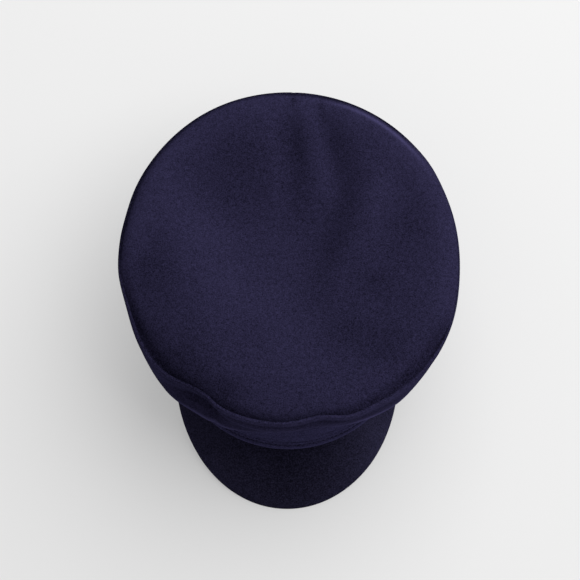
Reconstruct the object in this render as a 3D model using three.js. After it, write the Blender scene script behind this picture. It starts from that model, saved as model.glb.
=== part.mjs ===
// A Greek fisherman's cap of navy wool cloth, lying as it rests by itself: on the back of its band
// and on the front edge of its peak. Millimetres, +Z up, the peak towards -Y, +X the wearer's left.
// A bearing is an angle round the cap: 0 is the front, a quarter turn +X and half a turn the back.

import * as THREE from "three";
import { ParametricGeometry } from "three/addons/geometries/ParametricGeometry.js";

// Cloth thicknesses, and the gap that neighbouring pieces keep
const CLOTH = 1.8;
const BAND_CLOTH = 3;
const PEAK_BOARD = 3.6;
const SEAM_GAP = 0.35;

// The band: its outside at the lower and the upper edge, seen from above
const BAND_HEIGHT = 40;
const BAND_FOOT = { halfWidth: 92, halfLength: 98, centre: -3 };
const BAND_HEAD = { halfWidth: 89, halfLength: 95, centre: -2.5 };
const BAND_ROUNDING = 0.5;

// The tip: an almost round panel carried out beyond the band, lower at the back
const TIP = { halfWidth: 120, halfLength: 127.5, centre: 14 };
const TIP_HEIGHT = 98;
const TIP_FALL = THREE.MathUtils.degToRad(2.5);
const RIDGE_WIDTH = 2.4;
const RIDGE_HEIGHT = 4;
const DITCH_DEPTH = 0.9;

// The peak: how far it reaches before the band and drops below it, and where its corners are
const PEAK_REACH = 36.5;
const PEAK_DROP = 27;
const PEAK_HALF_WIDTH = 82.5;
const PEAK_CORNER = THREE.MathUtils.degToRad(67);
const PEAK_TUCK = 2.4;
const PEAK_BOW = 3;

// At rest the cloth that touches the table gives by this much
const SETTLE = 0.6;

// Grid sizes: columns round each piece, and rows across the peak
const CROWN_COLUMNS = 90;
const BAND_COLUMNS = 72;
const PEAK_COLUMNS = 44;
const PEAK_ROWS = 6;

// The side wall's section from the band up to the tip: shares of the way out and up, then the seam
// edge's own inset and rise from the tip's outline
const WALL_ROWS = [
  { out: 0, up: 0, inset: 0, rise: 0 },
  { out: 0.24, up: -0.005, inset: 0, rise: 0 },
  { out: 0.43, up: 0.03, inset: 0, rise: 0 },
  { out: 0.61, up: 0.12, inset: 0, rise: 0 },
  { out: 0.76, up: 0.26, inset: 0, rise: 0 },
  { out: 0.87, up: 0.42, inset: 0, rise: 0 },
  { out: 0.94, up: 0.58, inset: 0, rise: 0 },
  { out: 0.985, up: 0.75, inset: 0, rise: 0 },
  { out: 1, up: 0.9, inset: 0.3, rise: 0 },
  { out: 1, up: 1, inset: 0.8, rise: -RIDGE_HEIGHT },
  { out: 1, up: 1, inset: 0, rise: -0.7 * RIDGE_HEIGHT },
  { out: 1, up: 1, inset: 0.4, rise: -0.3 * RIDGE_HEIGHT },
  { out: 1, up: 1, inset: 1.1, rise: 0.1 },
  { out: 1, up: 1, inset: RIDGE_WIDTH, rise: -0.2 },
];

// Folds of the side wall: where, how far round and how much of the height they take, and their push
const WALL_FOLDS = [
  { bearing: 8, spread: 22, up: 0.13, tall: 0.3, push: -9.5 },
  { bearing: -31, spread: 11, up: 0.08, tall: 0.22, push: 5.5 },
  { bearing: 44, spread: 13, up: 0.2, tall: 0.25, push: -2 },
  { bearing: -38, spread: 14, up: 0.4, tall: 0.35, push: 4.5 },
  { bearing: -5, spread: 30, up: 0.55, tall: 0.1, push: -3 },
  { bearing: -5, spread: 30, up: 0.82, tall: 0.1, push: 1 },
];

// Bends of the tip's seam: outward (reach) and upward (lift). Inside the seam they fade to the middle
// of the tip with this power of the way out
const BEND_FADE = 6;
const SEAM_BENDS = [
  { bearing: 50, spread: 24, reach: 4, lift: 0 },
  { bearing: -50, spread: 13, reach: 3, lift: 0 },
  { bearing: -33, spread: 8, reach: -6, lift: -2 },
  { bearing: 10, spread: 9, reach: -2.5, lift: 0 },
];

// The tip's section from its middle to its edge: a dished middle and a rounded rim
const TIP_ROWS = [
  { share: 0, rise: -2.5 },
  { share: 0.12, rise: -2.4 },
  { share: 0.25, rise: -2 },
  { share: 0.38, rise: -1.2 },
  { share: 0.5, rise: -0.3 },
  { share: 0.61, rise: 0.6 },
  { share: 0.71, rise: 1.4 },
  { share: 0.8, rise: 1.9 },
  { share: 0.87, rise: 2 },
  { share: 0.93, rise: 1.5 },
  { share: 0.97, rise: 0.6 },
  { share: 1, rise: -DITCH_DEPTH },
];

// Soft valleys of the tip: from and to points from above, their half width and depth
const TIP_VALLEYS = [
  { fromX: 2, fromY: 138, toX: -3, toY: 66, width: 9, depth: 2.4 },
  { fromX: 24, fromY: 136, toX: 30, toY: 60, width: 9, depth: 2.2 },
  { fromX: 66, fromY: 10, toX: 60, toY: -20, width: 22, depth: 1.5 },
  { fromX: -92, fromY: 62, toX: -96, toY: 20, width: 18, depth: 1.5 },
];

// 1 at the middle of a bend or fold, fading to nothing over its spread
function fade(distance, spread) {
  return Math.exp(-((distance / spread) ** 2));
}

// The same along a bearing, in degrees, the short way round
function fadeRound(bearing, fold) {
  const degrees = THREE.MathUtils.radToDeg(bearing) - fold.bearing;
  return fade(THREE.MathUtils.euclideanModulo(degrees + 180, 360) - 180, fold.spread);
}

// A point of an oval outline, with its halves measured to the sides and to the front and back
function onOval({ halfWidth, halfLength, centre }, bearing, height = 0) {
  return new THREE.Vector3(halfWidth * Math.sin(bearing), centre - halfLength * Math.cos(bearing), height);
}

// A point of the sloping tip: a share of the way from its middle to its seam, with the seam's bends
function onSlope(bearing, share, inset = 0, rise = 0) {
  let reach = -inset;
  let lift = rise;
  for (const bend of SEAM_BENDS) {
    const bent = fadeRound(bearing, bend) * share ** BEND_FADE;
    reach += bend.reach * bent;
    lift += bend.lift * bent;
  }
  const { halfWidth, halfLength, centre } = TIP;
  const oval = { halfWidth: share * halfWidth + reach, halfLength: share * halfLength + reach, centre };
  const point = onOval(oval, bearing);
  point.z = TIP_HEIGHT - (point.y - centre) * Math.tan(TIP_FALL) + lift;
  return point;
}

// The side wall's outer face at a bearing and a row of its section
function onWall(bearing, row) {
  const foot = onOval(BAND_HEAD, bearing, BAND_HEIGHT + SEAM_GAP);
  const seam = onSlope(bearing, 1, row.inset, row.rise);
  const point = new THREE.Vector3();
  point.x = THREE.MathUtils.lerp(foot.x, seam.x, row.out);
  point.y = THREE.MathUtils.lerp(foot.y, seam.y, row.out);
  point.z = THREE.MathUtils.lerp(foot.z, seam.z, row.up);
  for (const fold of WALL_FOLDS) {
    const push = fold.push * fadeRound(bearing, fold) * fade(row.up - fold.up, fold.tall);
    point.x += push * Math.sin(bearing);
    point.y -= push * Math.cos(bearing);
  }
  return point;
}

// The direction out of the side wall, square to its face
function wallNormal(bearing, rowIndex) {
  const step = 0.01;
  const below = WALL_ROWS[Math.max(rowIndex - 1, 0)];
  const above = WALL_ROWS[Math.min(rowIndex + 1, WALL_ROWS.length - 1)];
  const row = WALL_ROWS[rowIndex];
  const round = onWall(bearing + step, row).sub(onWall(bearing - step, row));
  const up = onWall(bearing, above).sub(onWall(bearing, below));
  return round.cross(up).normalize();
}

// The tip's upper face at a bearing and a share of the way from its middle to its edge
function onTip(bearing, { share, rise }) {
  const inset = share * (RIDGE_WIDTH + SEAM_GAP);
  const point = onSlope(bearing, share, inset, rise);
  for (const valley of TIP_VALLEYS) {
    const line = new THREE.Line3(
      new THREE.Vector3(valley.fromX, valley.fromY, 0),
      new THREE.Vector3(valley.toX, valley.toY, 0),
    );
    const onFloor = new THREE.Vector3(point.x, point.y, 0);
    const nearest = line.closestPointToPoint(onFloor, true, new THREE.Vector3());
    point.z -= valley.depth * fade(nearest.distanceTo(onFloor), valley.width);
  }
  return point;
}

// The peak's upper face: side runs from -1 to 1 between the corners, out from 0 at the band to 1
function onPeak(side, out) {
  const root = onOval(BAND_FOOT, side * PEAK_CORNER);
  const corner = onOval(BAND_FOOT, PEAK_CORNER);
  const front = BAND_FOOT.halfLength - BAND_FOOT.centre + PEAK_REACH;
  const edge = {
    halfWidth: PEAK_HALF_WIDTH,
    halfLength: front + corner.y,
    centre: corner.y,
  };
  const turn = (side * Math.PI) / 2;
  const lip = onOval(edge, turn, -PEAK_DROP * Math.cos(turn));
  const inward = new THREE.Vector3(-root.x, BAND_FOOT.centre - root.y, 0).setLength(PEAK_TUCK);
  const point = root.add(inward).lerp(lip, out);
  point.z += PEAK_BOW * Math.cos(turn) * Math.sin(Math.PI * out) * out - SEAM_GAP;
  return point;
}

// A closed skin over a grid of points, with columns round the piece and rows round its section
function skin(columns, rows, pointAt) {
  const place = (u, v, target) => target.copy(pointAt(Math.round(u * columns), Math.round(v * rows)));
  return new ParametricGeometry(place, columns, rows);
}

function sideWall() {
  const count = WALL_ROWS.length;
  return skin(CROWN_COLUMNS, 2 * count, (column, step) => {
    const bearing = (column / CROWN_COLUMNS) * 2 * Math.PI;
    const loop = step % (2 * count);
    if (loop < count) {
      return onWall(bearing, WALL_ROWS[loop]);
    }
    const row = 2 * count - 1 - loop;
    return onWall(bearing, WALL_ROWS[row]).addScaledVector(wallNormal(bearing, row), -CLOTH);
  });
}

function tipPanel() {
  const count = TIP_ROWS.length;
  return skin(CROWN_COLUMNS, 2 * count - 1, (column, step) => {
    const bearing = (column / CROWN_COLUMNS) * 2 * Math.PI;
    if (step < count) {
      return onTip(bearing, TIP_ROWS[step]).add(new THREE.Vector3(0, 0, -CLOTH));
    }
    return onTip(bearing, TIP_ROWS[2 * count - 1 - step]);
  });
}

function headBand() {
  const section = [
    { inset: BAND_ROUNDING, up: 0, rise: 0 },
    { inset: 0, up: 0, rise: BAND_ROUNDING },
    { inset: 0, up: 0.5, rise: 0 },
    { inset: 0, up: 1, rise: 0 },
    { inset: BAND_CLOTH, up: 1, rise: 0 },
    { inset: BAND_CLOTH, up: 0.5, rise: 0 },
    { inset: BAND_CLOTH, up: 0, rise: BAND_ROUNDING },
    { inset: BAND_CLOTH - BAND_ROUNDING, up: 0, rise: 0 },
  ];
  return skin(BAND_COLUMNS, section.length, (column, step) => {
    const bearing = (column / BAND_COLUMNS) * 2 * Math.PI;
    const { inset, up, rise } = section[step % section.length];
    const oval = {
      halfWidth: THREE.MathUtils.lerp(BAND_FOOT.halfWidth, BAND_HEAD.halfWidth, up) - inset,
      halfLength: THREE.MathUtils.lerp(BAND_FOOT.halfLength, BAND_HEAD.halfLength, up) - inset,
      centre: THREE.MathUtils.lerp(BAND_FOOT.centre, BAND_HEAD.centre, up),
    };
    return onOval(oval, bearing, up * BAND_HEIGHT + rise);
  });
}

function peakBoard() {
  const last = PEAK_COLUMNS;
  const around = 2 * (PEAK_ROWS + 1);
  const under = (side, out) => onPeak(side, out).add(new THREE.Vector3(0, 0, -PEAK_BOARD));
  return skin(PEAK_COLUMNS, around, (column, step) => {
    const side = (2 * column) / last - 1;
    const loop = step % around;
    if (column === 0 || column === last) {
      return onPeak(side, 0.5).lerp(under(side, 0.5), 0.5);
    }
    if (loop <= PEAK_ROWS) {
      return under(side, loop / PEAK_ROWS);
    }
    return onPeak(side, (around - 1 - loop) / PEAK_ROWS);
  });
}

// Tilts the cap back until its band and its peak rest, and flattens the cloth against the table
function settle(geometry) {
  const lip = onPeak(0, 1);
  const depth = PEAK_BOARD - lip.z;
  const heel = onOval(BAND_FOOT, Math.PI);
  const tilt = Math.atan2(depth, heel.y - lip.y);
  geometry.rotateX(-tilt);
  geometry.translate(0, 0, heel.y * Math.sin(tilt) - SETTLE);
  const position = geometry.getAttribute("position");
  for (let i = 0; i < position.count; i += 1) {
    position.setZ(i, Math.max(position.getZ(i), 0));
  }
  return geometry;
}

const cap = new THREE.Group();
const pieces = [
  { name: "crown_tip", geometry: tipPanel(), color: 0x292840, roughness: 0.95 },
  { name: "crown_side", geometry: sideWall(), color: 0x1f1e33, roughness: 0.95 },
  { name: "band", geometry: headBand(), color: 0x1d1c31, roughness: 0.95 },
  { name: "peak", geometry: peakBoard(), color: 0x15141f, roughness: 0.95 },
];
for (const { name, geometry, color, roughness } of pieces) {
  const material = new THREE.MeshStandardMaterial({ color, roughness, metalness: 0 });
  const mesh = new THREE.Mesh(settle(geometry), material);
  mesh.name = name;
  cap.add(mesh);
}

// Puts the origin on the table, under the middle of the cap
const middle = new THREE.Box3().setFromObject(cap).getCenter(new THREE.Vector3());
for (const piece of cap.children) {
  piece.position.set(-middle.x, -middle.y, 0);
}

export default cap;
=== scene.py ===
from math import cos, pi, radians, sin

import bmesh
import bpy
import numpy as np
from mathutils import Matrix, Vector, noise
from mathutils.bvhtree import BVHTree


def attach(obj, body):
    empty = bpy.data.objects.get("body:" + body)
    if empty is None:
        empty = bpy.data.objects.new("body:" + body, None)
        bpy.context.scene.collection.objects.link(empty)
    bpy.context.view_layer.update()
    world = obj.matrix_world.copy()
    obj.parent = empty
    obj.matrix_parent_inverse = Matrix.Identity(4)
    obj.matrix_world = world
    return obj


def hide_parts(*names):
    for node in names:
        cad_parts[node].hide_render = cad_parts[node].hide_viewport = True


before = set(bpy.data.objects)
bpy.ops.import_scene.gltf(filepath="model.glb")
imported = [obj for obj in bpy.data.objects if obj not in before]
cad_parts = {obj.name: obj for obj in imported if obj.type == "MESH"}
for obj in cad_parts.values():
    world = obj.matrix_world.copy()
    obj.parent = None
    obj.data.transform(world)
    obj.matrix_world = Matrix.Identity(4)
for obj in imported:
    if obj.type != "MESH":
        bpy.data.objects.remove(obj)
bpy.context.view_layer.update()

# Crown tip: the flat round top panel, one layer of navy wool cloth with a short felted nap.
# It is cut as an almost round disc, sewn to the side wall edge to edge, and lies a little
# dished inside the raised seam, with soft valleys where the cloth runs slack at the back.
TIP_MIDDLE = Vector((0, 0.0210, 0.1072))
TIP_LEAN = radians(10.1)
TIP_UPWARD = Vector((0, sin(TIP_LEAN), cos(TIP_LEAN)))
TIP_BACKWARD = Vector((0, cos(TIP_LEAN), -sin(TIP_LEAN)))
TIP_HALVES = (0.1175, 0.1250)
TIP_UNEVEN, TIP_UNEVEN_ACROSS = 0.0004, 0.030
TIP_SPREAD, SPREAD_FROM, WAVER_FROM = 0.0012, 0.9, 0.8
SHARE_LEAST = 0.5
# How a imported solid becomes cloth: which triangles pair up, which edges stay sharp, longest rows
PAIR_ANGLE = radians(80)
EDGE_SHARP, EDGE_KEPT = radians(50), 0.8
ROW_LONGEST, FINE_ROW_LONGEST = 0.012, 0.0015
# Soft forms pressed into the tip: where, how they run, and how far they rise or sink
TIP_FORMS = [
    {"left": -0.005, "back": 0.084, "turn": -15, "long": 0.036, "wide": 0.009, "rise": -0.0021},
    {"left": 0.012, "back": 0.086, "turn": -16, "long": 0.038, "wide": 0.008, "rise": 0.0028},
    {"left": 0.025, "back": 0.084, "turn": -13, "long": 0.036, "wide": 0.007, "rise": -0.0028},
    {"left": 0.047, "back": 0.082, "turn": -16, "long": 0.030, "wide": 0.010, "rise": 0.0022},
    {"left": 0.051, "back": 0.036, "turn": 18, "long": 0.057, "wide": 0.015, "rise": 0.0052},
    {"left": 0.022, "back": 0.014, "turn": 17, "long": 0.045, "wide": 0.012, "rise": -0.0016},
    {"left": -0.022, "back": 0.081, "turn": -46, "long": 0.037, "wide": 0.024, "rise": 0.0038},
    {"left": -0.073, "back": -0.026, "turn": -18, "long": 0.105, "wide": 0.025, "rise": 0.0070},
    {"left": -0.011, "back": -0.081, "turn": -28, "long": 0.060, "wide": 0.029, "rise": 0.0046},
    {"left": -0.037, "back": 0.012, "turn": -45, "long": 0.110, "wide": 0.024, "rise": -0.0052},
    {"left": 0.014, "back": 0.005, "turn": -45, "long": 0.060, "wide": 0.025, "rise": -0.0044},
    {"left": 0.052, "back": -0.022, "turn": -74, "long": 0.110, "wide": 0.034, "rise": 0.0052},
    {"left": 0.058, "back": -0.056, "turn": -83, "long": 0.047, "wide": 0.023, "rise": 0.0042},
    {"left": -0.047, "back": -0.109, "turn": 60, "long": 0.011, "wide": 0.009, "rise": -0.0046},
]
TIP_FADE = 8
# The rim of the tip, by bearing in degrees from the front: a rounded lip at the right and the back
# with a painted highlight on it, a ditch inside the seam at the front with painted shade in it,
# painted shade along the edge at the back and a painted highlight beside it
LIP_FROM, LIP_TO, LIP_BLEND = 62, 282, 14
LIP_SHARE, LIP_INSIDE, LIP_OUTSIDE = 0.955, 0.140, 0.060
LIP_RISE, LIP_HIGHLIGHT = 0.0040, 0.13
DITCH_HALF, DITCH_DEPTH, DITCH_SHADE = 0.030, 0.0028, -0.24
ROLL_FROM, ROLL_TO, ROLL_HALF, ROLL_DEPTH = -64, -24, 0.070, 0.0036
STRIP_FROM, STRIP_TO, STRIP_SHOWS = 134, 272, 0.0012
RIM_SHARE, RIM_HALF, RIM_SHADE = 0.999, 0.012, -0.46
HIGHLIGHT_FROM, HIGHLIGHT_TO, HIGHLIGHT_SHARE, HIGHLIGHT_HALF, HIGHLIGHT_TONE = 131, 164, 0.969, 0.011, 0.95
# Where the seam wavers: at which bearing, over how many degrees, and how far out it goes
SEAM_WAVERS = [
    {"bearing": 10.5, "span": 5.5, "out": -0.0017},
    {"bearing": 20.5, "span": 5.0, "out": 0.0013},
    {"bearing": 67, "span": 13, "out": 0.0014},
    {"bearing": 127, "span": 8, "out": 0.0009},
    {"bearing": 208, "span": 20, "out": 0.0009},
    {"bearing": 256, "span": 8, "out": -0.0008},
    {"bearing": 278, "span": 8, "out": 0.0014},
]
# Where the tip is made paler or darker: partly brushed nap, partly painted light and painted shade
# over its soft forms, in its dents and at the back seam
TIP_NAP_AND_SHADING = [
    {"left": -0.056, "back": 0.000, "turn": -40, "long": 0.060, "wide": 0.026, "tone": 0.05},
    {"left": 0.066, "back": -0.014, "turn": 0, "long": 0.060, "wide": 0.040, "tone": -0.07},
    {"left": -0.039, "back": 0.066, "turn": 60, "long": 0.034, "wide": 0.022, "tone": -0.09},
    {"left": 0.010, "back": 0.095, "turn": 90, "long": 0.060, "wide": 0.025, "tone": -0.05},
    {"left": 0.033, "back": 0.020, "turn": 17, "long": 0.045, "wide": 0.010, "tone": -0.07},
    {"left": 0.042, "back": -0.057, "turn": 0, "long": 0.018, "wide": 0.016, "tone": -0.04},
    {"left": -0.072, "back": -0.088, "turn": -50, "long": 0.044, "wide": 0.018, "tone": -0.14},
    {"left": -0.097, "back": -0.012, "turn": 0, "long": 0.018, "wide": 0.016, "tone": -0.17},
    {"left": -0.097, "back": 0.044, "turn": 0, "long": 0.008, "wide": 0.008, "tone": -0.05},
    {"left": -0.047, "back": -0.109, "turn": 60, "long": 0.015, "wide": 0.010, "tone": -0.12},
    {"left": 0.003, "back": 0.056, "turn": -12, "long": 0.056, "wide": 0.009, "tone": -0.10},
    {"left": 0.086, "back": 0.022, "turn": 0, "long": 0.013, "wide": 0.013, "tone": -0.09},
    {"left": 0.062, "back": -0.020, "turn": 50, "long": 0.012, "wide": 0.008, "tone": -0.10},
    {"left": 0.040, "back": -0.059, "turn": 0, "long": 0.011, "wide": 0.012, "tone": -0.07},
    {"left": 0.067, "back": -0.067, "turn": 0, "long": 0.014, "wide": 0.013, "tone": -0.08},
    {"left": 0.064, "back": 0.036, "turn": 30, "long": 0.040, "wide": 0.012, "tone": 0.07},
    {"left": 0.0000, "back": 0.119, "turn": 0, "long": 0.0040, "wide": 0.0017, "tone": -0.38},
    {"left": 0.0205, "back": 0.112, "turn": -8, "long": 0.0090, "wide": 0.0024, "tone": -0.22},
]
NAVY_DEEP = (0.0046, 0.0041, 0.0104)
NAVY_PALE = (0.0258, 0.0230, 0.0580)
FIBRE_ACROSS, TUFT_ACROSS, CLOUD_ACROSS = 0.0009, 0.0026, 0.028
CLOTH_NAP = 0.0004


class Wire:
    """A socket of a material. Sums of wires and numbers add Math nodes, node() adds any other."""

    def __init__(self, tree, socket=None):
        self.tree = tree
        self.socket = socket

    def node(self, kind, settings=None, sockets=None, out=0):
        made = self.tree.nodes.new(kind)
        for name, value in (settings or {}).items():
            setattr(made, name, value)
        for name, value in (sockets or {}).items():
            if isinstance(value, Wire):
                self.tree.links.new(value.socket, made.inputs[name])
            else:
                made.inputs[name].default_value = value
        return Wire(self.tree, made.outputs[out])

    def maths(self, operation, first, second):
        return self.node("ShaderNodeMath", {"operation": operation}, {0: first, 1: second})

    def __add__(self, other):
        return self.maths("ADD", self, other)

    def __radd__(self, other):
        return self.maths("ADD", other, self)

    def __sub__(self, other):
        return self.maths("SUBTRACT", self, other)

    def __rsub__(self, other):
        return self.maths("SUBTRACT", other, self)

    def __mul__(self, other):
        return self.maths("MULTIPLY", self, other)

    def __rmul__(self, other):
        return self.maths("MULTIPLY", other, self)


def wool(name, deep, pale, nap):
    """Felted wool: a fuzzy grain of fibres, cloudy dye, and a nap that stands up by nap metres."""
    material = bpy.data.materials.new(name)
    material.use_nodes = True
    shader = material.node_tree.nodes["Principled BSDF"]
    wires = Wire(material.node_tree)
    place = wires.node("ShaderNodeTexCoord", out="Object")

    def grain(across, detail):
        sockets = {"Vector": place, "Scale": 1 / across, "Detail": detail, "Roughness": 0.6}
        return wires.node("ShaderNodeTexNoise", {}, sockets, "Fac")

    fibres = grain(FIBRE_ACROSS, 3)
    tufts = grain(TUFT_ACROSS, 2)
    clouds = grain(CLOUD_ACROSS, 3)
    # The point attribute nap adds painted light and painted shade to the grain, together with
    # brushed nap and random streaks
    nap_and_shading = wires.node("ShaderNodeAttribute", {"attribute_name": "nap"}, {}, "Fac")
    tone = 0.5 + (fibres - 0.5) * 2.0 + (tufts - 0.5) * 0.6 + (clouds - 0.5) * 0.2 + nap_and_shading
    tone = wires.maths("MAXIMUM", tone, 0)
    colour = wires.node(
        "ShaderNodeMix",
        {"data_type": "RGBA", "clamp_factor": False},
        {"Factor": tone, "A": (*deep, 1), "B": (*pale, 1)},
        "Result",
    )
    height = fibres * 0.7 + tufts * 0.6
    raised = wires.node(
        "ShaderNodeBump", {}, {"Height": height, "Strength": 0.6, "Distance": nap}, "Normal"
    )
    material.node_tree.links.new(colour.socket, shader.inputs["Base Color"])
    material.node_tree.links.new(raised.socket, shader.inputs["Normal"])
    shader.inputs["Roughness"].default_value = 0.95
    shader.inputs["Specular IOR Level"].default_value = 0
    shader.inputs["Sheen Weight"].default_value = 0.04
    shader.inputs["Sheen Roughness"].default_value = 0.3
    shader.inputs["Sheen Tint"].default_value = (0.34, 0.33, 0.80, 1)
    return material


def around(point, middle):
    """The level direction round the cap at a point."""
    return Vector((middle.y - point.y, point.x - middle.x, 0)).normalized()


def rounded(cloth):
    """Replaces a piece's mesh by one with every face cut in four and rounded."""
    smooth = cloth.modifiers.new("rounding", "SUBSURF")
    smooth.levels = smooth.render_levels = 1
    finer = cloth.evaluated_get(bpy.context.evaluated_depsgraph_get())
    coarse = cloth.data
    cloth.data = bpy.data.meshes.new_from_object(finer)
    cloth.modifiers.clear()
    bpy.data.meshes.remove(coarse)


def cut_across(work, longest, cuts):
    """Adds rows to a piece: cuts the edges that run up its section and are longer than longest."""
    middle = Vector((0, 0, 0))
    for corner in work.verts:
        middle += corner.co / len(work.verts)
    upright = []
    for edge in work.edges:
        run = edge.verts[1].co - edge.verts[0].co
        halfway = (edge.verts[0].co + edge.verts[1].co) / 2
        if run.length > longest and abs(run.normalized().dot(around(halfway, middle))) < 0.5:
            upright.append(edge)
    bmesh.ops.subdivide_edges(work, edges=upright, cuts=cuts, use_grid_fill=True)


def fine_cloth(node, piece, first_cuts=0, later_cuts=0):
    """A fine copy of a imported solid: corners merged, triangles paired, rows added, rounded."""
    work = bmesh.new()
    work.from_mesh(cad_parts[node].data)
    bmesh.ops.remove_doubles(work, verts=work.verts, dist=1e-6)
    bmesh.ops.join_triangles(
        work,
        faces=work.faces,
        angle_face_threshold=PAIR_ANGLE,
        angle_shape_threshold=PAIR_ANGLE,
    )
    if first_cuts:
        cut_across(work, ROW_LONGEST, first_cuts)
    kept = work.edges.layers.float.new("crease_edge")
    for edge in work.edges:
        if edge.calc_face_angle(0) > EDGE_SHARP:
            edge[kept] = EDGE_KEPT
    cloth = bpy.data.objects.new(piece, bpy.data.meshes.new(piece))
    bpy.context.scene.collection.objects.link(cloth)
    work.to_mesh(cloth.data)
    rounded(cloth)
    if later_cuts:
        work.clear()
        work.from_mesh(cloth.data)
        cut_across(work, FINE_ROW_LONGEST, later_cuts)
        work.to_mesh(cloth.data)
    work.free()
    rounded(cloth)
    cloth.data.name = piece
    cloth.data.shade_smooth()
    return cloth


def rows_of(items, name):
    """An array with a row of three numbers for each point of a piece, such as where it is."""
    rows = np.empty(len(items) * 3, np.float32)
    items.foreach_get(name, rows)
    return rows.reshape(-1, 3).astype(float)


def put_points(cloth, points):
    """Moves every point of a piece to its row."""
    cloth.data.vertices.foreach_set("co", points.astype(np.float32).ravel())
    cloth.data.update()


def on_tip(points):
    """Points as seen square to the tip: to the left of the cap, to its back, and above the seam."""
    offset = points - TIP_MIDDLE
    return offset[:, 0], offset @ TIP_BACKWARD, offset @ TIP_UPWARD


def near(off, half):
    """1 where off is 0, falling softly away to either side, about a third at half."""
    return np.exp(-((off / half) ** 2))


def swell(across, up, form):
    """A soft form on the cloth, 1 at its middle: turned by so many degrees, and long and wide."""
    turn = radians(form["turn"])
    along = across * sin(turn) + up * cos(turn)
    aside = across * cos(turn) - up * sin(turn)
    return near(along, form["long"]) * near(aside, form["wide"])


def between(bearing, start, stop, blend):
    """1 from one bearing round to another, with soft ends blend degrees long, and 0 outside."""
    half = (stop - start) / 2
    off = np.abs((bearing - start - half + 180) % 360 - 180)
    return 1 / (1 + np.exp((off - half) * 4 / blend))


def waver(bearing):
    """How far out the seam stands at a bearing."""
    out = np.zeros(len(bearing))
    for bend in SEAM_WAVERS:
        off = (bearing - bend["bearing"] + 180) % 360 - 180
        out += bend["out"] * near(off, bend["span"])
    return out


def paint_nap_and_shading(cloth, tone):
    """Keeps how much paler, above 0, or darker, below 0, each point is made: brushed nap, painted
    light and painted shade.
    """
    layer = cloth.data.attributes.new("nap", "FLOAT", "POINT")
    layer.data.foreach_set("value", tone.astype(np.float32))


def finish_cloth(cloth, node, material):
    """Gives a piece its material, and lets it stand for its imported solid."""
    cloth.data.materials.clear()
    cloth.data.materials.append(material)
    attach(cloth, "root")
    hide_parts(node)


crown_wool = wool("crown_wool", NAVY_DEEP, NAVY_PALE, CLOTH_NAP)
crown_tip = fine_cloth("crown_tip", "crown_tip_cloth")
points = rows_of(crown_tip.data.vertices, "co")
left, back, _ = on_tip(points)
share = np.hypot(left / TIP_HALVES[0], back / TIP_HALVES[1])
rise = np.zeros(len(points))
for form in TIP_FORMS:
    rise += form["rise"] * swell(left - form["left"], back - form["back"], form)
rise *= 1 - np.clip(share, 0, 1) ** TIP_FADE
tone = np.zeros(len(points))
for mark in TIP_NAP_AND_SHADING:
    tone += mark["tone"] * swell(left - mark["left"], back - mark["back"], mark)
bearing = np.degrees(np.arctan2(left, -back)) % 360
lipped = between(bearing, LIP_FROM, LIP_TO, LIP_BLEND)
lip_half = np.where(share < LIP_SHARE, LIP_INSIDE, LIP_OUTSIDE)
lip = lipped * near(share - LIP_SHARE, lip_half)
ditch = (1 - lipped) * near(share - 1, DITCH_HALF)
roll = between(bearing, ROLL_FROM, ROLL_TO, LIP_BLEND) * near(share - 1, ROLL_HALF)
rise += LIP_RISE * lip - DITCH_DEPTH * ditch - ROLL_DEPTH * roll
# Painted highlight on the lip and beside the back edge, painted shade in the front ditch and along
# the edge at the back
rim_highlight = between(bearing, HIGHLIGHT_FROM, HIGHLIGHT_TO, LIP_BLEND) * near(share - HIGHLIGHT_SHARE, HIGHLIGHT_HALF)
rim = between(bearing, STRIP_FROM, STRIP_TO, LIP_BLEND) * near(share - RIM_SHARE, RIM_HALF)
tone += LIP_HIGHLIGHT * lip + DITCH_SHADE * ditch + HIGHLIGHT_TONE * rim_highlight + RIM_SHADE * rim
for index, point in enumerate(points):
    spot = Vector((point[0], point[1], 0)) / TIP_UNEVEN_ACROSS
    rise[index] += TIP_UNEVEN * noise.noise(spot)
points += rise[:, None] * TIP_UPWARD
spread = TIP_SPREAD * np.clip((share - SPREAD_FROM) / (1 - SPREAD_FROM), 0, 1) ** 2
spread += waver(bearing) * np.clip((share - WAVER_FROM) / (1 - WAVER_FROM), 0, 1) ** 2
spread /= np.maximum(share, SHARE_LEAST)
points[:, 0] += spread * left / TIP_HALVES[0]
points += (spread * back / TIP_HALVES[1])[:, None] * TIP_BACKWARD
put_points(crown_tip, points)
paint_nap_and_shading(crown_tip, tone)
finish_cloth(crown_tip, "crown_tip", crown_wool)

# Crown side: the wall of the crown, one strip of the same cloth joined at the back. It spreads from
# the band to the tip, folds softly at the front, and its top edge is turned up into the seam.
# The stitched groove and the ridge above it: how far below the seam's top, how wide, how deep, the
# painted shade in the groove, the painted highlight along the ridge and the painted shade on its
# inner side
GROOVE_BELOW, GROOVE_HALF, GROOVE_DEPTH, GROOVE_SHADE = 0.0062, 0.0010, 0.0011, -0.26
RIDGE_BELOW, RIDGE_HALF, RIDGE_HIGHLIGHT, RIDGE_INSIDE_SHADE = 0.0036, 0.0022, 0.24, -0.30
# How far down the wall the painted shade at the back reaches
RIM_DEEP = 0.0050
# Where painted sheen lightens the front of the wall: from and to which bearing, how far down, and
# how much
FRONT_FROM, FRONT_TO, FRONT_BELOW, FRONT_PAINTED_SHEEN = -18, 45, 0.030, 0.20
STREAK_LONG, STREAK_WIDE, STREAK_TONE = 0.024, 0.0014, 0.22
WAVER_BELOW = 0.014
WALL_FADE, WALL_LAP, LAP_HALF = 0.010, 0.0018, 0.004
WELT_FROM, WELT_TO, WELT_BELOW, WELT_HALF, WELT_FULL = -64, 58, 0.0026, 0.0024, 0.0011
BACK_SEAM_HALF, BACK_SEAM_DEPTH, BACK_SEAM_LEAST = 0.0012, 0.0010, 0.2
EDGE_REACH = 3
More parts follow.
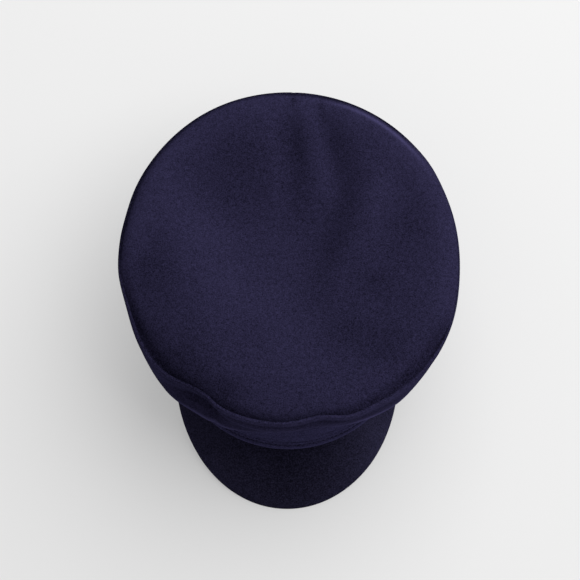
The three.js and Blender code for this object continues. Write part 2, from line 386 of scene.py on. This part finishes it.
# Folds of the wall: the bearing round the tip from the front, how far below the seam, how they run,
# how far they stand out or lie in, and their tone: painted shade in the hollow folds and painted
# highlights along the lower edges they roll over
WALL_FORMS = [
    {"bearing": -31, "below": 0.021, "turn": 90, "long": 0.026, "wide": 0.010,
     "push": -0.0050, "tone": -0.22},
    {"bearing": -25.5, "below": 0.022, "turn": 10, "long": 0.016, "wide": 0.0042,
     "push": -0.0044, "tone": -0.20},
    {"bearing": -23, "below": 0.042, "turn": 90, "long": 0.032, "wide": 0.004,
     "push": 0.0021, "tone": 0.10},
    {"bearing": -28, "below": 0.0408, "turn": 90, "long": 0.034, "wide": 0.0016,
     "push": 0.0003, "tone": 1.50},
    {"bearing": -3, "below": 0.0100, "turn": 90, "long": 0.055, "wide": 0.0026,
     "push": -0.0014, "tone": -0.06},
    {"bearing": -4, "below": 0.0165, "turn": 90, "long": 0.050, "wide": 0.0040,
     "push": 0.0016, "tone": 0.45},
    {"bearing": 22, "below": 0.0095, "turn": 84, "long": 0.030, "wide": 0.0024,
     "push": -0.0013, "tone": -0.08},
    {"bearing": 26, "below": 0.0160, "turn": 94, "long": 0.028, "wide": 0.0026,
     "push": -0.0013, "tone": -0.08},
    {"bearing": 26, "below": 0.0235, "turn": 90, "long": 0.036, "wide": 0.0030,
     "push": 0.0018, "tone": 0.30},
    {"bearing": 28, "below": 0.0224, "turn": 90, "long": 0.030, "wide": 0.0016,
     "push": 0.0, "tone": 1.30},
    {"bearing": -48, "below": 0.015, "turn": 90, "long": 0.020, "wide": 0.010,
     "push": 0.0, "tone": 0.24},
    {"bearing": 37, "below": 0.022, "turn": 90, "long": 0.016, "wide": 0.012,
     "push": 0.0011, "tone": 0.10},
]


def streaks(left, back, down):
    """Faint pale and dark creases that run round a strip of cloth, from -1 to 1 at each point."""
    places = np.column_stack((left / STREAK_LONG, back / STREAK_LONG, down / STREAK_WIDE))
    return np.array([noise.noise(place) for place in places])


def round_edge(bearing, heights, pick):
    """The edge of a ring of cloth at each whole degree from 0 to 360: the highest or lowest."""
    edge = []
    for at in range(360):
        off = np.abs((bearing - at + 180) % 360 - 180)
        edge.append(pick(heights[off < EDGE_REACH]))
    return np.array(edge + edge[:1])


def edge_at(edge, bearing):
    """The height of a ring's edge at a bearing, or at many."""
    return np.interp(bearing % 360, np.arange(361), edge)


crown_side = fine_cloth("crown_side", "crown_side_cloth", later_cuts=1)
points = rows_of(crown_side.data.vertices, "co")
normals = rows_of(crown_side.data.vertex_normals, "vector")
left, back, above = on_tip(points)
bearing = np.degrees(np.arctan2(left, -back)) % 360
ring = np.hypot(left, back)
seam_top = round_edge(bearing, above, np.max)
below = edge_at(seam_top, bearing) - above
outward = np.column_stack((left / ring, back / ring)) @ np.array([(1, 0, 0), TIP_BACKWARD])
facing_out = np.sum(normals * outward, axis=1)
outside = facing_out > 0
push = np.zeros(len(points))
tone = np.zeros(len(points))
for form in WALL_FORMS:
    aside = np.radians((bearing - form["bearing"] + 180) % 360 - 180) * ring
    fold = swell(aside, below - form["below"], form)
    push += form["push"] * fold
    tone += form["tone"] * fold
# The groove is darkened with painted shade as well as drawn in
groove = near(below - GROOVE_BELOW, GROOVE_HALF)
tone += GROOVE_SHADE * groove
groove *= GROOVE_DEPTH
under_ridge = np.clip(below / GROOVE_BELOW, BACK_SEAM_LEAST, 1)
groove += BACK_SEAM_DEPTH * near(left, BACK_SEAM_HALF) * (back > 0) * under_ridge
welt = WELT_FULL * near(below - WELT_BELOW, WELT_HALF)
welt *= between(bearing, WELT_FROM, WELT_TO, LIP_BLEND)
back_strip = between(bearing, STRIP_FROM, STRIP_TO, LIP_BLEND)
welt += STRIP_SHOWS * back_strip * near(below - WELT_BELOW, 2 * WELT_HALF)
welt *= np.clip(facing_out, 0, 1)
from_foot = above - edge_at(round_edge(bearing, above, np.min), bearing)
push *= np.clip(from_foot / WALL_FADE, 0, 1)
points -= (WALL_LAP * near(from_foot, LAP_HALF))[:, None] * TIP_UPWARD
wavering = waver(bearing) * near(below, WAVER_BELOW)
points += (push + welt + wavering)[:, None] * outward - (groove * outside)[:, None] * normals
put_points(crown_side, points)
# Painted highlight along the ridge and painted shade on its inner side, except at the back, where
# painted shade lies along the top of the wall
ridge = RIDGE_HIGHLIGHT * near(below - RIDGE_BELOW, RIDGE_HALF)
ridge += RIDGE_INSIDE_SHADE * (1 - outside) * near(below, RIDGE_BELOW)
tone += ridge * (1 - back_strip) + RIM_SHADE * back_strip * near(below, RIM_DEEP)
# Painted sheen lightens the front of the wall
front = between(bearing, FRONT_FROM, FRONT_TO, LIP_BLEND) * near(below, FRONT_BELOW)
tone += FRONT_PAINTED_SHEEN * front + STREAK_TONE * streaks(left, back, below)
paint_nap_and_shading(crown_side, tone)
finish_cloth(crown_side, "crown_side", crown_wool)

# Seam stitches: a row of navy thread stitches just outside the raised seam, all round the crown.
# Each is a short loop of twisted thread, drawn down into the groove that the row pulls in.
STITCH_LONG, STITCH_THICK, STITCH_SHARE = 0.0025, 0.0004, 0.72
RAY_START = 0.2
SEAM_STITCHES = 230
THREAD_NAP = 0.0001
THREAD_DEEP = (0.0120, 0.0110, 0.0260)
THREAD_PALE = (0.0480, 0.0436, 0.1020)


def stitch_places(count, middle, backward, upward, edge, over):
    """Two rays for each stitch of a row round the cap: where each starts, and which way it goes."""
    places = []
    for number in range(2 * count):
        at = 360 * (number // 2 + STITCH_SHARE * (number % 2)) / count
        away = Vector((sin(radians(at)), 0, 0)) - cos(radians(at)) * backward
        level = edge_at(edge, at) + over
        places.append((middle + RAY_START * away + upward * level, -away))
    return places


def stitch_row(piece, cloth, places, material):
    """A row of stitches on a piece of cloth, each between the two spots that its rays meet."""
    work = bmesh.new()
    work.from_mesh(cloth.data)
    surface = BVHTree.FromBMesh(work)
    work.clear()
    ends = [surface.ray_cast(start, inward) for start, inward in places]
    for first, second in zip(ends[0::2], ends[1::2]):
        if first[0] is None or second[0] is None:
            continue
        run = second[0] - first[0]
        if run.length > 2 * STITCH_LONG:
            continue
        along = run.normalized()
        side = first[1].cross(along).normalized()
        facing = along.cross(side)
        turned = Matrix((along, side, facing)).transposed().to_4x4()
        shape = Matrix.Diagonal((STITCH_LONG / 2, STITCH_THICK, STITCH_THICK, 1))
        place = Matrix.Translation((first[0] + second[0]) / 2)
        bmesh.ops.create_uvsphere(
            work, u_segments=6, v_segments=5, radius=1, matrix=place @ turned @ shape
        )
    mesh = bpy.data.meshes.new(piece)
    work.to_mesh(mesh)
    work.free()
    mesh.shade_smooth()
    mesh.materials.append(material)
    row = bpy.data.objects.new(piece, mesh)
    bpy.context.scene.collection.objects.link(row)
    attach(row, "root")


crown_thread = wool("crown_thread", THREAD_DEEP, THREAD_PALE, THREAD_NAP)
places = stitch_places(
    SEAM_STITCHES, TIP_MIDDLE, TIP_BACKWARD, TIP_UPWARD, seam_top, -GROOVE_BELOW
)
stitch_row("seam_stitches", crown_side, places, crown_thread)

# Band: the upright head band, two layers of the same wool round the head opening. It is sewn to the
# crown at its top edge and turned in along its lower edge, with a row of stitches above the turn.
BAND_MIDDLE = Vector((0, -0.0050, 0.0330))
BAND_LEAN = radians(7.58)
BAND_UPWARD = Vector((0, sin(BAND_LEAN), cos(BAND_LEAN)))
BAND_BACKWARD = Vector((0, cos(BAND_LEAN), -sin(BAND_LEAN)))
# The stitched line and the fainter fold line over it: how far over the lower edge, how wide and
# deep, and how much painted shade darkens them
BAND_ROW_OVER, BAND_LINE_OVER, BAND_LINE_FAINT = 0.0062, 0.0115, 0.6
BAND_LINE_HALF, BAND_LINE_DEPTH, BAND_LINE_SHADE = 0.0014, 0.0008, -0.50
# How far up the lower edge is made lighter, and by how much: partly wear of the turned edge, partly
# painted highlight
BAND_EDGE, BAND_EDGE_WEAR_AND_HIGHLIGHT = 0.0022, 0.40
BAND_STITCHES = 176
BAND_LAP, BAND_LAP_TO = 0.0024, 66
# The band's colours: the crown's wool made paler, painted light for the brighter look of its
# upright front
BAND_LIT_DEEP = (0.0080, 0.0072, 0.0188)
BAND_LIT_PALE = (0.0456, 0.0414, 0.1070)
lit_band_wool = wool("lit_band_wool", BAND_LIT_DEEP, BAND_LIT_PALE, CLOTH_NAP)
band = fine_cloth("band", "band_cloth", first_cuts=6)
points = rows_of(band.data.vertices, "co")
normals = rows_of(band.data.vertex_normals, "vector")
offset = points - BAND_MIDDLE
left, back, height = offset[:, 0], offset @ BAND_BACKWARD, offset @ BAND_UPWARD
bearing = np.degrees(np.arctan2(left, -back)) % 360
lower_edge = round_edge(bearing, height, np.min)
over = height - edge_at(lower_edge, bearing)
outside = normals[:, 0] * left + normals @ BAND_BACKWARD * back > 0
groove = near(over - BAND_ROW_OVER, BAND_LINE_HALF)
groove += BAND_LINE_FAINT * near(over - BAND_LINE_OVER, BAND_LINE_HALF)
groove += near(left, BACK_SEAM_HALF) * (back > 0)
points -= (BAND_LINE_DEPTH * groove * outside)[:, None] * normals
lap = between(bearing, -BAND_LAP_TO, BAND_LAP_TO, LIP_BLEND) * near(over, LAP_HALF)
points -= (BAND_LAP * lap)[:, None] * BAND_UPWARD
put_points(band, points)
# Lighter along the lower edge, partly wear and partly painted highlight, with painted shade in the
# stitched and fold lines and the back seam
tone = BAND_EDGE_WEAR_AND_HIGHLIGHT * near(over, BAND_EDGE) + BAND_LINE_SHADE * groove
tone += STREAK_TONE * streaks(left, back, over)
paint_nap_and_shading(band, tone)
finish_cloth(band, "band", lit_band_wool)
band_thread = wool("band_thread", THREAD_DEEP, THREAD_PALE, THREAD_NAP)
places = stitch_places(
    BAND_STITCHES, BAND_MIDDLE, BAND_BACKWARD, BAND_UPWARD, lower_edge, BAND_ROW_OVER
)
stitch_row("band_stitches", band, places, band_thread)

# Peak: the short stiff peak, the same wool drawn smooth over a curved board that is sewn in under
# the front of the band. The cover stands a little further out than the board towards the front.
PEAK_DEEP = (0.0053, 0.0049, 0.0108)
PEAK_PALE = (0.0296, 0.0272, 0.0596)
PEAK_ROOT, PEAK_LONG = -0.060, 0.050
PEAK_COVER = Vector((0.0007, -0.0010, 0))
PEAK_FUZZ = 0.0003
# Painted shading on the peak: the crown's painted shadow over its middle, painted shade along its
# root under the band, and painted light on its left side, towards the key
PEAK_PAINTED_SHADING = [
    {"left": 0.004, "back": -0.120, "turn": 90, "long": 0.042, "wide": 0.034, "tone": -0.32},
    {"left": 0.004, "back": -0.101, "turn": 90, "long": 0.050, "wide": 0.009, "tone": -0.16},
    {"left": 0.066, "back": -0.098, "turn": -30, "long": 0.030, "wide": 0.016, "tone": 0.14},
]
peak_wool = wool("peak_wool", PEAK_DEEP, PEAK_PALE, PEAK_FUZZ)
peak = fine_cloth("peak", "peak_cloth")
points = rows_of(peak.data.vertices, "co")
covered = np.clip((PEAK_ROOT - points[:, 1]) / PEAK_LONG, 0, 1)
points += covered[:, None] * PEAK_COVER
put_points(peak, points)
tone = np.zeros(len(points))
for mark in PEAK_PAINTED_SHADING:
    tone += mark["tone"] * swell(points[:, 0] - mark["left"], points[:, 1] - mark["back"], mark)
paint_nap_and_shading(peak, tone)
finish_cloth(peak, "peak", peak_wool)

# Table: a plain pale matt top that the cap lies on. It glows a little, as a lit backdrop does, so
# that the shadow beside the cap stays soft.
TABLE_HALF = 3.0
TABLE_PALE = (0.43, 0.43, 0.43, 1)
TABLE_GLOW = 0.34
work = bmesh.new()
bmesh.ops.create_grid(work, x_segments=1, y_segments=1, size=TABLE_HALF)
mesh = bpy.data.meshes.new("table")
work.to_mesh(mesh)
work.free()
table = bpy.data.objects.new("table", mesh)
bpy.context.scene.collection.objects.link(table)
table_paint = bpy.data.materials.new("table_paint")
table_paint.use_nodes = True
table_shader = table_paint.node_tree.nodes["Principled BSDF"]
table_shader.inputs["Base Color"].default_value = TABLE_PALE
table_shader.inputs["Emission Color"].default_value = (1, 1, 1, 1)
table_shader.inputs["Emission Strength"].default_value = TABLE_GLOW
table_shader.inputs["Roughness"].default_value = 0.9
table_shader.inputs["Specular IOR Level"].default_value = 0.1
mesh.materials.append(table_paint)

# Light: a large soft box above and behind to the right, aimed at the cap, and an even pale room
# round it.
KEY_PLACE = Vector((1.25, 1.3, 1.75))
KEY_SIDE = 4.4
KEY_POWER = 154
ROOM_LIGHT = 0.35
key = bpy.data.lights.new("key", "AREA")
key.shape = "SQUARE"
key.size = KEY_SIDE
key.energy = KEY_POWER
key_lamp = bpy.data.objects.new("key", key)
key_lamp.location = KEY_PLACE
key_lamp.rotation_euler = (-KEY_PLACE).to_track_quat("-Z", "Y").to_euler()
bpy.context.scene.collection.objects.link(key_lamp)
room = bpy.data.worlds.new("room")
room.use_nodes = True
room.node_tree.nodes["Background"].inputs["Color"].default_value = (1, 1, 1, 1)
room.node_tree.nodes["Background"].inputs["Strength"].default_value = ROOM_LIGHT
bpy.context.scene.world = room
bpy.context.scene.view_settings.view_transform = "Standard"

# Camera: high above the peak, looking down on the cap from about 1.6 m, and turned a little about
# its own line of sight.
EYE = Vector((0.0005, -0.3275, 1.6250))
LOOK_AT = Vector((0.0005, 0.00515, 0.060))
CAMERA_TURN = radians(1.3)
SENSOR, LENS = 36, 137.2
camera = bpy.data.cameras.new("camera")
camera.sensor_width = SENSOR
camera.lens = LENS
camera_stand = bpy.data.objects.new("camera", camera)
aim = (LOOK_AT - EYE).to_track_quat("-Z", "Y").to_matrix()
aim = aim @ Matrix.Rotation(CAMERA_TURN, 3, "Z")
camera_stand.matrix_world = Matrix.Translation(EYE) @ aim.to_4x4()
bpy.context.scene.collection.objects.link(camera_stand)
bpy.context.scene.camera = camera_stand
